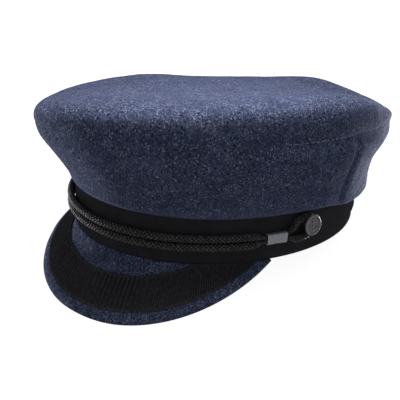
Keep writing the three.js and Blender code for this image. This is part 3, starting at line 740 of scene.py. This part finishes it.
def band(look):
    count = 420
    angles = (90 + np.arange(count) * 360 / count)[:, None]
    outside = np.linspace(0, 1, 24)
    turn = np.linspace(-90, 90, 9)
    half = BAND_WALL / 2
    rows = []
    rows += [(-half + half * cos(a), -BAND_HEIGHT + BAND_LIP * (1 + sin(a))) for a in turn[:4]]
    rows += [(0, -BAND_HEIGHT + BAND_LIP + share * (BAND_HEIGHT - 2 * BAND_LIP)) for share in outside]
    rows += [(-0.3 * MM, -0.2 * MM), (-0.8 * MM, 0)]
    inside = np.linspace(1, 0, 12)
    rows += [(-BAND_WALL + 0.8 * MM, 0), (-BAND_WALL + 0.2 * MM, -0.3 * MM)]
    rows += [(-BAND_WALL, -BAND_HEIGHT + BAND_LIP + share * (BAND_HEIGHT - 2 * BAND_LIP))
             for share in inside]
    rows += [(-half - half * cos(a), -BAND_HEIGHT + BAND_LIP * (1 + sin(a))) for a in turn[3:0:-1]]
    out = np.array([row[0] for row in rows])[None, :]
    height = np.array([row[1] for row in rows])[None, :]
    angles, out, height = np.broadcast_arrays(angles, out, height)
    loops = on_band(angles, out, height)
    wave = (0.35 * MM * ripple(loops, 0.05, 21) + 0.12 * MM * ripple(loops, 0.016, 22))
    behind = np.exp(-(((angles - 360 - BAND_FOLD_ANGLE) / BAND_FOLD_HALF_ANGLE) ** 2))
    level = smoothstep(height, -BAND_HEIGHT, -BAND_HEIGHT + 6 * MM) * smoothstep(-height, 0, 5 * MM)
    fold = BAND_FOLD_DEPTH * behind * np.sin(height / BAND_FOLD_SPACING * 2 * np.pi)
    wave = (wave + fold) * level
    loops = loops + outward(angles) * wave[..., None]
    length = np.arange(count + 1) / count * BAND_CLOTH_LENGTH
    around = np.concatenate([[0], np.cumsum(np.linalg.norm(np.diff(loops[0], axis=0), axis=1)), [0.1]])
    flat = np.stack(np.broadcast_arrays(length[:, None], around[None, :]), -1)
    return make_piece("band_cloth", to_room(loops), look, ("band",), flat=flat)


# Peak

def peak_reach(share):
    return PEAK_LENGTH * (1 - np.abs(share) ** PEAK_FULLNESS) ** PEAK_TAPER


def peak_frame(share):
    angle = -90 + share * PEAK_HALF_ANGLE
    away = outward(angle)
    away = unit(away + (np.array([0, -1.0, 0]) - away) * PEAK_TURN)
    slope = (PEAK_SLOPE_FRONT + (PEAK_SLOPE_END - PEAK_SLOPE_FRONT) * share ** 2)[..., None]
    start = oval(angle, HALF_BREADTH, HALF_LENGTH)
    start[..., 2] = -BAND_HEIGHT - GAP
    rise = np.array([0, 0, 1.0])
    return start, away, away * cos(slope) - rise * sin(slope), away * sin(slope) + rise * cos(slope)


def peak_place(share, reach, height):
    start, away, down, up = peak_frame(share)
    return start + down * reach[..., None] + up * height[..., None]


def peak(look):
    shares = (0.985 * np.sin(np.linspace(-1, 1, 241) * np.pi / 2))[:, None]
    length = peak_reach(shares)
    fullness = np.clip(length / PEAK_THINNED_LENGTH, 0.25, 1)
    wall = PEAK_WALL * fullness
    flat = length - wall / 2
    start, away, down, up = peak_frame(shares)
    part = np.linspace(0, 1, 40)[None, :]
    reach = part * flat
    border = flat - reach - (PEAK_BORDER - 1.6 * MM)
    puff = 0.45 * MM * np.exp(-((border + 2.4 * MM) / (2.6 * MM)) ** 2) * fullness
    dip = 0.25 * MM * np.exp(-((border - 1.8 * MM) / (0.8 * MM)) ** 2) * fullness
    upper = peak_place(np.broadcast_to(shares, reach.shape), reach, puff - dip)
    turns = np.linspace(0, 180, 15)[None, 1:-1]
    edge_reach = flat + wall / 2 * sin(turns)
    edge_height = -wall / 2 + wall / 2 * cos(turns)
    edge = peak_place(np.broadcast_to(shares, edge_reach.shape), edge_reach, edge_height)
    under_part = np.linspace(1, 0.12, 12)[None, :]
    under_reach = under_part * flat
    under = peak_place(np.broadcast_to(shares, under_reach.shape), under_reach,
                       np.broadcast_to(-wall, under_reach.shape))
    seat = start - away * (BAND_WALL - GAP)
    loops = np.concatenate([upper, edge, under, seat], 1)
    normal = normals_of(loops, False)
    normal *= np.sign((normal * up).sum(-1, keepdims=True))
    push = 0.16 * MM * ripple(loops, 0.02, 31) + 0.05 * MM * ripple(loops, 0.006, 32, 24)
    covered = np.ones(loops.shape[1])
    covered[40:] = 0
    rim_free = smoothstep(length, 2 * MM, 10 * MM)
    loops = loops + normal * (push * covered * rim_free)[..., None]
    return make_piece("peak_cloth", to_room(loops), look, ("peak",), closed=False)


def peak_ribbon(look):
    fine = np.linspace(-0.985, 0.985, 1601)
    fine = fine[peak_reach(fine) > PEAK_BORDER + RIBBON_END_WIDTH + 2 * GAP]
    shares = np.linspace(fine[0], fine[-1], 1300)[:, None]
    far = peak_reach(shares) - PEAK_BORDER
    near = np.maximum(-2 * GAP, far - RIBBON_WIDTH)
    part = np.linspace(0, 1, 22)[None, :]
    reach = near + part * (far - near)
    middle = peak_place(shares[:, 0], (0.5 * (near + far))[:, 0], np.zeros(len(shares)))
    arc = np.concatenate([[0], np.cumsum(np.linalg.norm(np.diff(middle, axis=0), axis=1))])[:, None]
    ribs = RIB_DEPTH * np.cos(2 * np.pi * arc / RIB_SPACING)
    drift = 1.1 * MM * np.sin(arc / (17 * MM)) + 0.8 * MM * np.sin(arc / (7.3 * MM) + 1)
    pucker = np.cos(2 * np.pi * (arc + drift) / GATHER_SPACING) * (0.6 + 0.4 * np.sin(arc / (9 * MM)))
    front = smoothstep(1 - np.abs(shares + 0.1), 0.35, 0.8)
    gather = GATHER_DEPTH * pucker * front * (1 - 0.7 * part) * smoothstep(part, 0, 0.08)
    edge = RIBBON_ROUND * (1 - (1 - np.minimum(part, 1 - part) / 0.04).clip(0, 1) ** 2)
    height = GAP * 0.5 + 0.2 * MM + edge + (ribs + gather) * smoothstep(np.minimum(part, 1 - part), 0, 0.06)
    wave = 0.25 * MM * np.sin(arc / (6 * MM)) * front
    reach = reach - wave * (1 - part)
    upper = peak_place(np.broadcast_to(shares, reach.shape), reach, height)
    lower_part = np.array([1, 0.66, 0.33, 0])[None, :]
    lower_reach = near + lower_part * (far - near) - wave * (1 - lower_part)
    lower = peak_place(np.broadcast_to(shares, lower_reach.shape), lower_reach,
                       np.full(lower_reach.shape, -0.3 * MM))
    loops = np.concatenate([upper, lower], 1)
    across = np.concatenate([part[0], 1 + 0.1 * np.arange(1, 6)]) * RIBBON_WIDTH
    flat = np.stack(np.broadcast_arrays(arc, across[None, :]), -1)
    return make_piece("peak_ribbon_cloth", to_room(loops), look, ("peak_ribbon",),
                      closed=False, flat=flat)


# Cord

def cord_height(angle):
    return CORD_HEIGHT - CORD_DROOP * sin(angle) ** 2


def strand_points(side):
    start = -FERRULE_ANGLE - degrees_along(FERRULE_ANGLE, FERRULE_LENGTH / 2)
    end = -FERRULE_ANGLE + degrees_along(FERRULE_ANGLE, FERRULE_LENGTH / 2)
    settle = degrees_along(FERRULE_ANGLE, 1.3 * CORD_DIAMETER)
    opened = [a for a in (-80, -70, -60, -50, -42) if a < start - 2 * settle]
    opened.append(start - 1.4 * settle)
    spread = [(a, CORD_SPREAD) for a in opened]
    spread += [(a, NECK_SPREAD) for a in (start, -FERRULE_ANGLE, end)]
    return [on_band(a, CORD_OUT, cord_height(a) + side * away) for a, away in spread]


def loop_points():
    return [on_band(-BUTTON_ANGLE + degrees_along(BUTTON_ANGLE, x * CORD_DIAMETER), CORD_OUT,
                    BUTTON_HEIGHT + y * CORD_DIAMETER) for x, y in CORD_LOOP]


def cord_route(steps):
    """Even points along the closed cord, doubled along the front and turned around each button."""
    half = [*strand_points(1), *loop_points(), *strand_points(-1)[::-1]]
    middle = [on_band(-90, CORD_OUT, cord_height(-90) + side * CORD_SPREAD) for side in (1, -1)]
    other = [p * [-1, 1, 1] for p in half][::-1]
    knots = np.array([middle[0], *half, middle[1], *other])
    before, after, beyond = (np.roll(knots, -k, 0) for k in (-1, 1, 2))
    spans = [np.linalg.norm(b - a, axis=1)[:, None] ** 0.5
             for a, b in ((before, knots), (knots, after), (after, beyond))]
    leave = ((knots - before) / spans[0] - (after - before) / (spans[0] + spans[1])
             + (after - knots) / spans[1]) * spans[1]
    arrive = ((after - knots) / spans[1] - (beyond - knots) / (spans[1] + spans[2])
              + (beyond - after) / spans[2]) * spans[1]
    t = (np.arange(60) / 60)[None, :, None]
    k, a, l, r = (v[:, None] for v in (knots, after, leave, arrive))
    line = (k + t * l + t ** 2 * (3 * (a - k) - 2 * l - r) + t ** 3 * (2 * (k - a) + l + r))
    line = line.reshape(-1, 3)
    ring = np.vstack([line, line[:1]])
    length = np.concatenate([[0], np.cumsum(np.linalg.norm(np.diff(ring, axis=0), axis=1))])
    even = np.arange(steps) / steps * length[-1]
    return np.stack([np.interp(even, length, ring[:, k]) for k in range(3)], -1), length[-1]


def cord_radius(places):
    near = places.copy()
    near[:, 0] = np.abs(near[:, 0])
    middle = on_band(-FERRULE_ANGLE, CORD_OUT, cord_height(-FERRULE_ANGLE))
    distance = np.abs((near - middle) @ along(-FERRULE_ANGLE)) - FERRULE_LENGTH / 2
    opened = smoothstep(distance, 0.1 * CORD_DIAMETER, 1.7 * CORD_DIAMETER)
    return NECK_RADIUS + (CORD_RADIUS - NECK_RADIUS) * opened


def cord(look):
    steps = 2100
    sides = 36
    route, length = cord_route(steps)
    tangent = unit(np.roll(route, -1, 0) - np.roll(route, 1, 0))
    angle = np.degrees(np.arctan2(route[:, 1] * HALF_BREADTH, route[:, 0] * HALF_LENGTH))
    out = outward(angle)
    out = unit(out - tangent * (out * tangent).sum(-1, keepdims=True))
    side = np.cross(tangent, out)
    turns = (np.arange(sides) / sides)[None, :]
    repeats = round(length / BRAID_PITCH)
    travel = (np.arange(steps) / steps * repeats)[:, None]
    one = BRAID_CARRIERS * (turns - travel)
    other = BRAID_CARRIERS * (turns + travel)
    bump = np.sqrt(np.sin(np.pi * (one % 1)) * np.sin(np.pi * (other % 1)))
    over = np.where((np.floor(one) + np.floor(other)) % 2 == 0, one % 1, other % 1)
    radius = cord_radius(route)[:, None]
    size = radius * (1 - BRAID_RELIEF + BRAID_RELIEF * bump * (0.75 + 0.25 * np.cos(np.pi * over)))
    rings = out[:, None] * np.cos(2 * np.pi * turns)[..., None]
    rings = rings + side[:, None] * np.sin(2 * np.pi * turns)[..., None]
    loops = route[:, None] + rings * size[..., None]
    arc = np.arange(steps + 1)[:, None] / steps * length
    girth = np.arange(sides + 1)[None, :] / sides * np.pi * CORD_DIAMETER
    flat = np.stack(np.broadcast_arrays(arc, girth), -1)
    return make_piece("cord_braid", to_room(loops), look, ("cord",), flat=flat)


# Ferrules and buttons

def set_on_band(angle, out, height, tilt):
    """Origin and axes of a fitting: x along the band, z out of it, tilted upwards."""
    x = along(angle)
    z = outward(angle) * cos(tilt) + np.array([0, 0, 1.0]) * sin(tilt)
    return on_band(angle, out, height), np.array([x, np.cross(z, x), z])


def ferrule(name, angle, look):
    """A flattened metal tube, crimped a little in the middle, with rounded lips."""
    hole = np.array([NECK_RADIUS + GAP, NECK_SPREAD + NECK_RADIUS + GAP])
    along_x = np.linspace(-1, 1, 31)
    turn = np.arange(72) * 5.0
    power = 3.6
    lip_radius = 0.3 * MM
    straight = FERRULE_LENGTH / 2 - lip_radius
    round_x = np.sign(cos(turn)) * np.abs(cos(turn)) ** (2 / power)
    round_y = np.sign(sin(turn)) * np.abs(sin(turn)) ** (2 / power)
    profile = []
    for x in along_x:
        crimp = 0.12 * MM * np.exp(-((x / 0.45) ** 2)) - 0.1 * MM * np.abs(x) ** 6
        profile.append((x * straight, FERRULE_WALL - crimp))
    lip = [(straight + lip_radius * sin(a), FERRULE_WALL / 2 + lip_radius * cos(a))
           for a in (30, 60, 90, 120, 150)]
    profile += lip
    profile += [(x * straight, 0.02 * MM) for x in along_x[::-3]]
    profile += [(-x, w) for x, w in lip[::-1]]
    loops = []
    for x, wall in profile:
        loops.append(point(np.full_like(turn, x), round_y * (hole[1] + wall), round_x * (hole[0] + wall)))
    loops = np.array(loops)
    origin, axes = set_on_band(angle, CORD_OUT, cord_height(angle), 0)
    return make_piece(name + "_metal", to_room(loops @ axes + origin), look, (name,))


def anchor_relief(x, y, half):
    """How much of the anchor covers each place of a button's face, 0 to 1."""
    bar = 0.11 * half
    soft = 0.09 * half

    def cover(distance):
        return smoothstep(-distance, -soft / 2, soft / 2)

    shank = np.maximum(np.abs(x) - bar, np.abs(y + 0.12 * half) - 0.75 * half)
    stock = np.maximum(np.abs(x) - 0.45 * half, np.abs(y - 0.42 * half) - bar)
    ring = np.abs(np.hypot(x, y - 0.82 * half) - 0.17 * half) - 0.07 * half
    reach = np.abs(np.hypot(x, y) - 0.9 * half) - bar
    arms = np.maximum(reach, y + 0.28 * half)
    return np.max([cover(part) for part in (shank, stock, ring, arms)], 0)


def button(name, angle, look):
    """A round button on a shank, with a raised rim, a groove and a plain anchor in relief."""
    radius = BUTTON_DIAMETER / 2
    back = CORD_OUT + CORD_RADIUS + GAP + radius * sin(BUTTON_TILT)
    front = back + BUTTON_THICKNESS
    face = front - RELIEF_HEIGHT
    rim = 0.12 * radius
    floor_radius = radius - 2.3 * rim
    outline = [(0, GAP), (BUTTON_SHANK / 2, GAP), (BUTTON_SHANK / 2, back - 0.2 * MM),
               (BUTTON_SHANK / 2 + 0.3 * MM, back), (radius - 1.1 * rim, back)]
    edge = BUTTON_THICKNESS / 2
    outline += [(radius - edge * 0.7 * (1 - cos(a)), back + edge + edge * sin(a))
                for a in np.linspace(-80, 80, 11)]
    outline += [(radius - 1.25 * rim, front - 0.02 * MM), (radius - 1.5 * rim, front - 0.12 * MM),
                (radius - 1.75 * rim, face - 0.12 * MM), (radius - 2.0 * rim, face - 0.16 * MM),
                (radius - 2.15 * rim, face - 0.1 * MM)]
    outline += [(floor_radius * share, face) for share in np.linspace(1, 0, 42)]
    turn = np.arange(132) * 360 / 132
    r = np.array([o[0] for o in outline])[:, None]
    z = np.array([o[1] for o in outline])[:, None]
    x, y = r * cos(turn), r * sin(turn)
    z = np.broadcast_to(z, x.shape).copy()
    on_face = np.arange(len(outline))[:, None] >= len(outline) - 42
    z += np.where(on_face, RELIEF_HEIGHT * anchor_relief(x, y, radius * 0.6), 0)
    on_rim = smoothstep(r, radius - 1.8 * rim, radius - 1.4 * rim) * (z > back + edge)
    # The raised anchor and rim, which the metal paints paler, partly as wear and partly as a painted
    # highlight
    raised_wear_and_highlight = np.where(on_face, anchor_relief(x, y, radius * 0.6), on_rim)
    flat = np.stack([np.broadcast_to(r, x.shape), raised_wear_and_highlight], -1).transpose(1, 0, 2)
    flat = np.pad(flat, ((0, 1), (0, 1), (0, 0)), mode="wrap")
    worn = 0.035 * MM * ripple(point(x, y, z), 0.9 * MM, 41, 30)
    z += np.where((r > BUTTON_SHANK) | on_face, worn, 0)
    z[-1] = z[-1].mean()
    loops = point(x, y, z).transpose(1, 0, 2)
    origin, axes = set_on_band(angle, 0, BUTTON_HEIGHT, BUTTON_TILT)
    room = to_room(loops @ axes + origin)
    return make_piece(name + "_metal", room, look, (name,), flat=flat)


# Assembly

wool = wool_look()
crown_top(wool)
crown_side("crown_side_front_cloth", RIGHT_SEAM - 360, LEFT_SEAM, wool)
crown_side("crown_side_back_cloth", LEFT_SEAM, RIGHT_SEAM, wool)
seam_stitches(thread_look())
band(band_look())
peak(wool)
peak_ribbon(ribbon_look())
cord(braid_look())
ferrule_metal = metal_look(
    "ferrule_pewter", colour(0.36, 0.37, 0.38), colour(0.60, 0.61, 0.63), 0.5, 1500)
# The buttons' raised parts are painted paler, partly as wear and partly as a painted highlight
button_metal = metal_look(
    "button_gunmetal", colour(0.035, 0.033, 0.035), colour(0.42, 0.40, 0.41), 0.6, 1300,
    worn=0.55)
for side, turned in (("left", lambda a: -a), ("right", lambda a: a - 180)):
    ferrule(f"ferrule_{side}", turned(FERRULE_ANGLE), ferrule_metal)
    button(f"button_{side}", turned(BUTTON_ANGLE), button_metal)


# Stage

def only_seen(piece):
    """Make a stage piece that is seen but throws no light or shadow on the cap."""
    piece.visible_diffuse = False
    piece.visible_glossy = False
    piece.visible_shadow = False


def pale_floor():
    look = new_look(
        "pale_floor", Roughness=0.9, Specular_IOR_Level=0.1, Base_Color=colour(0.5, 0.5, 0.5),
        Emission_Color=colour(1, 1, 1), Emission_Strength=0.93)[0]
    size = 6.0
    height = -0.05 * MM
    mesh = bpy.data.meshes.new("floor")
    corners = [(-size, -size, height), (size, -size, height), (size, size, height), (-size, size, height)]
    mesh.from_pydata(corners, [], [(0, 1, 2, 3)])
    mesh.materials.append(look)
    plane = bpy.data.objects.new("floor", mesh)
    bpy.context.scene.collection.objects.link(plane)
    only_seen(plane)


def pale_backdrop():
    look = bpy.data.materials.new("pale_backdrop")
    look.use_nodes = True
    tree = look.node_tree
    tree.nodes.clear()
    glow = node(tree, "ShaderNodeEmission", {"Color": colour(1, 1, 1), "Strength": 1.0})
    surface = node(tree, "ShaderNodeOutputMaterial")
    tree.links.new(glow.outputs[0], surface.inputs["Surface"])
    bpy.ops.mesh.primitive_uv_sphere_add(segments=48, ring_count=24, radius=5.5)
    backdrop = bpy.context.object
    backdrop.name = "backdrop"
    backdrop.data.materials.append(look)
    only_seen(backdrop)


def studio_world():
    world = bpy.data.worlds.new("studio")
    world.use_nodes = True
    light = world.node_tree.nodes["Background"]
    light.inputs["Color"].default_value = colour(0.93, 0.94, 1.0)
    light.inputs["Strength"].default_value = 0.31
    bpy.context.scene.world = world


def all_but(names):
    """A receiver collection that takes the named pieces out of a light."""
    unlit = bpy.data.collections.new("out_of_side_lights")
    for name in names:
        unlit.objects.link(bpy.data.objects[name])
    for item in unlit.collection_objects:
        item.light_linking.link_state = "EXCLUDE"
    return unlit


def softbox(name, place, target, size, power, tint, shaded=None):
    lamp = bpy.data.lights.new(name, "AREA")
    lamp.shape = "DISK"
    lamp.size = size
    lamp.energy = power
    lamp.color = tint
    light = bpy.data.objects.new(name, lamp)
    light.location = place
    light.rotation_mode = "QUATERNION"
    light.rotation_quaternion = (Vector(target) - Vector(place)).to_track_quat("-Z", "Y")
    light.visible_camera = False
    light.light_linking.receiver_collection = shaded
    bpy.context.scene.collection.objects.link(light)


def add_camera(place, azimuth, elevation, roll, lens):
    """A camera that looks along its azimuth and elevation, rolled about its view."""
    back = np.array([sin(azimuth) * cos(elevation), -cos(azimuth) * cos(elevation), sin(elevation)])
    level_right = np.array([cos(azimuth), sin(azimuth), 0.0])
    level_up = np.cross(back, level_right)
    right = level_right * cos(roll) + level_up * sin(roll)
    up = np.cross(back, right)
    camera = bpy.data.objects.new("camera", bpy.data.cameras.new("camera"))
    camera.data.lens = lens
    camera.data.sensor_width = 36
    camera.data.clip_start = 0.01
    camera.matrix_world = Matrix((
        (right[0], up[0], back[0], place[0]),
        (right[1], up[1], back[1], place[1]),
        (right[2], up[2], back[2], place[2]),
        (0, 0, 0, 1)))
    bpy.context.scene.collection.objects.link(camera)
    bpy.context.scene.camera = camera


pale_floor()
pale_backdrop()
studio_world()

# The low side lights stand for the pale table's bounce, which the flat black cloths hardly show
side_lit = all_but(("band_cloth", "peak_ribbon_cloth", "ferrule_right_metal"))
softbox("overhead", (0.04, -0.01, 0.33), (0.01, -0.01, 0.1), 0.2, 1.02, (0.98, 0.98, 1.0))
softbox("right_back", (0.06, 1.2, -0.38), (0, 0, 0.07), 0.5, 33, (0.93, 0.94, 1.0), side_lit)
softbox("left_side", (-1.3, -0.25, -0.25), (0, 0, 0.07), 0.15, 19, (0.95, 0.95, 1.0), side_lit)

add_camera(place=(0.30396, -0.35725, 0.26241), azimuth=41.81, elevation=27.41, roll=-2.51, lens=69.41)
bpy.context.scene.view_settings.view_transform = "Standard"
